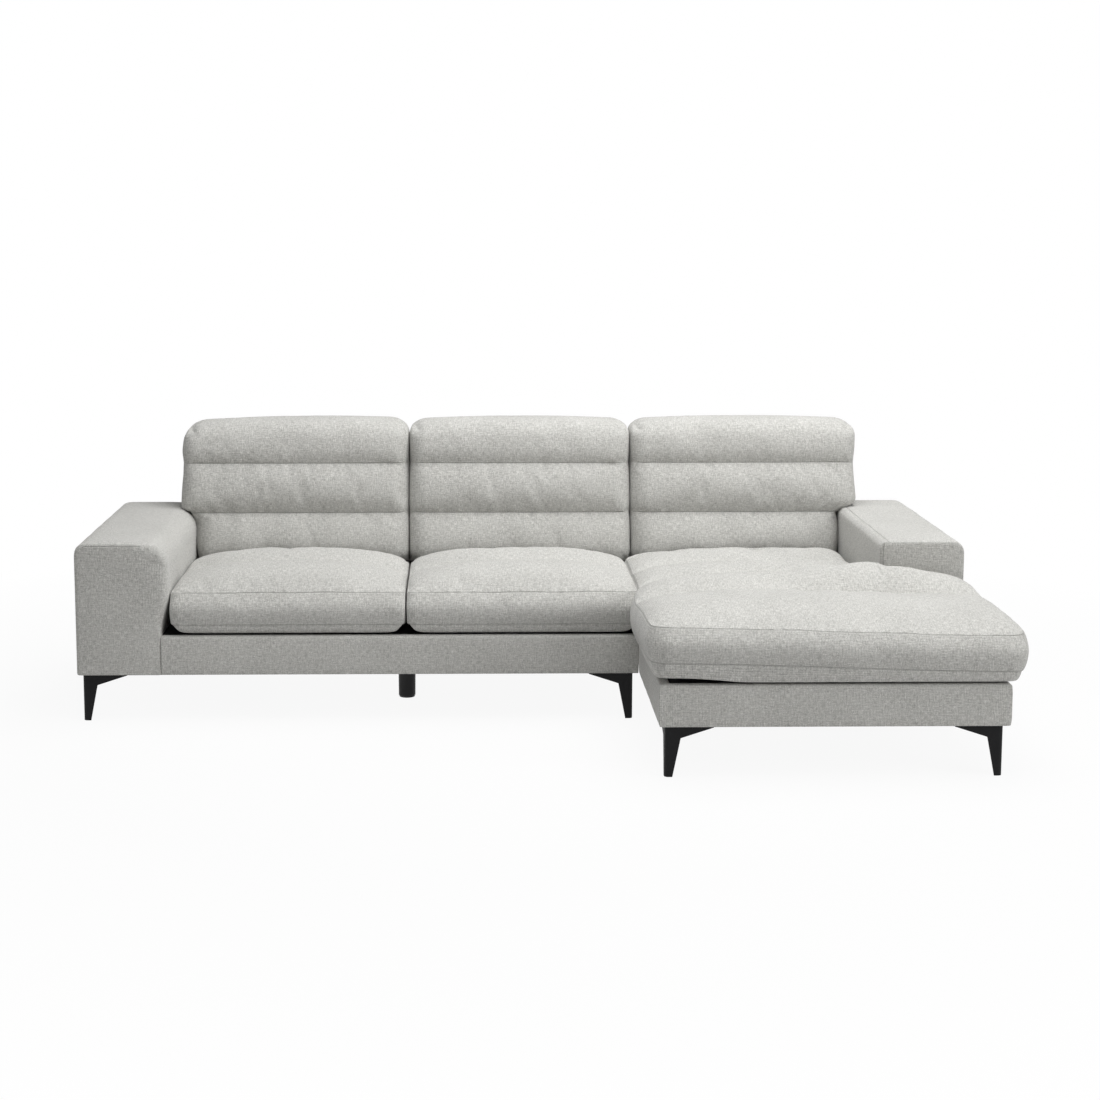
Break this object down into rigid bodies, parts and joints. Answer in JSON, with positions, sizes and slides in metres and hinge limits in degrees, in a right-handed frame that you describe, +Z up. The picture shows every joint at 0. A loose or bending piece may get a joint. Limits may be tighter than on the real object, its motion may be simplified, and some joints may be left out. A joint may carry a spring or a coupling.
{
  "type": "sectional sofa",
  "caption": "Sectional sofa with a right-hand chaise, channelled lift-off backs, loose crowned seat cushions, padded arms and black angled sheet legs.",
  "frame": {"origin": "on the floor, at the middle of the overall box in plan", "axes": "+X to the right as seen from the front, along the sofa's length; +Y from the chaise's front to the backs; +Z up from the floor"},
  "size_m": [2.842, 1.6174, 0.895],
  "materials": {
    "grey_fabric": "matte",
    "lining_cloth": "matte",
    "webbing": "matte",
    "foam": "matte",
    "frame_wood": "matte",
    "black_steel": "satin",
    "zinc_steel": "satin",
    "black_plastic": "matte"
  },
  "bodies": {
    "two_seat_section": {"left_arm_cover": "grey_fabric", "left_arm_frame": "frame_wood", "left_back_bracket": "zinc_steel", "middle_back_bracket": "zinc_steel", "support_foot": "black_plastic", "two_seat_bolts": "zinc_steel", "two_seat_connectors": "zinc_steel", "two_seat_corner_blocks": "frame_wood", "two_seat_cross_rail": "frame_wood", "two_seat_deck_cloth": "lining_cloth", "two_seat_dust_cover": "lining_cloth", "two_seat_front_cover": "grey_fabric", "two_seat_front_rail": "frame_wood", "two_seat_left_rail": "frame_wood", "two_seat_leg_front_left": "black_steel", "two_seat_leg_front_right": "black_steel", "two_seat_leg_rear_left": "black_steel", "two_seat_leg_rear_right": "black_steel", "two_seat_rear_cover": "grey_fabric", "two_seat_rear_rail": "frame_wood", "two_seat_right_rail": "frame_wood", "two_seat_wall_frame": "frame_wood", "two_seat_webbing": "webbing"},
    "chaise_section": {"chaise_arm_rail": "frame_wood", "chaise_bolts": "zinc_steel", "chaise_connectors": "zinc_steel", "chaise_corner_blocks": "frame_wood", "chaise_cross_rail": "frame_wood", "chaise_deck_cloth": "lining_cloth", "chaise_dust_cover": "lining_cloth", "chaise_front_cover": "grey_fabric", "chaise_front_rail": "frame_wood", "chaise_left_rail": "frame_wood", "chaise_leg_front_left": "black_steel", "chaise_leg_front_right": "black_steel", "chaise_leg_rear_left": "black_steel", "chaise_leg_rear_right": "black_steel", "chaise_rear_cover": "grey_fabric", "chaise_rear_rail": "frame_wood", "chaise_right_rail": "frame_wood", "chaise_wall_frame": "frame_wood", "chaise_webbing": "webbing", "right_arm_cover": "grey_fabric", "right_arm_frame": "frame_wood", "right_back_bracket": "zinc_steel"},
    "left_seat": {"left_seat_cushion": "grey_fabric", "left_seat_core": "foam"},
    "middle_seat": {"middle_seat_cushion": "grey_fabric", "middle_seat_core": "foam"},
    "chaise_seat": {"chaise_cushion": "grey_fabric", "chaise_core": "foam"},
    "left_back": {"left_back_pad": "grey_fabric", "left_back_board": "frame_wood", "left_back_sleeves": "zinc_steel"},
    "middle_back": {"middle_back_pad": "grey_fabric", "middle_back_board": "frame_wood", "middle_back_sleeves": "zinc_steel"},
    "right_back": {"right_back_pad": "grey_fabric", "right_back_board": "frame_wood", "right_back_sleeves": "zinc_steel"}
  },
  "joints": [
    {"name": "two_seat_unhook", "type": "slide", "parent": "chaise_section", "child": "two_seat_section", "axis": [0, 0, 1], "range_m": [0, 0.04]},
    {"name": "left_seat_lift", "type": "slide", "parent": "two_seat_section", "child": "left_seat", "axis": [0, 0, 1], "range_m": [0, 0.32]},
    {"name": "middle_seat_lift", "type": "slide", "parent": "two_seat_section", "child": "middle_seat", "axis": [0, 0, 1], "range_m": [0, 0.32]},
    {"name": "chaise_seat_lift", "type": "slide", "parent": "chaise_section", "child": "chaise_seat", "axis": [0, 0, 1], "range_m": [0, 0.32]},
    {"name": "left_back_lift", "type": "slide", "parent": "two_seat_section", "child": "left_back", "axis": [0, 0.2079, 0.9781], "range_m": [0, 0.17]},
    {"name": "middle_back_lift", "type": "slide", "parent": "two_seat_section", "child": "middle_back", "axis": [0, 0.2079, 0.9781], "range_m": [0, 0.17]},
    {"name": "right_back_lift", "type": "slide", "parent": "chaise_section", "child": "right_back", "axis": [0, 0.2079, 0.9781], "range_m": [0, 0.17]}
  ]
}
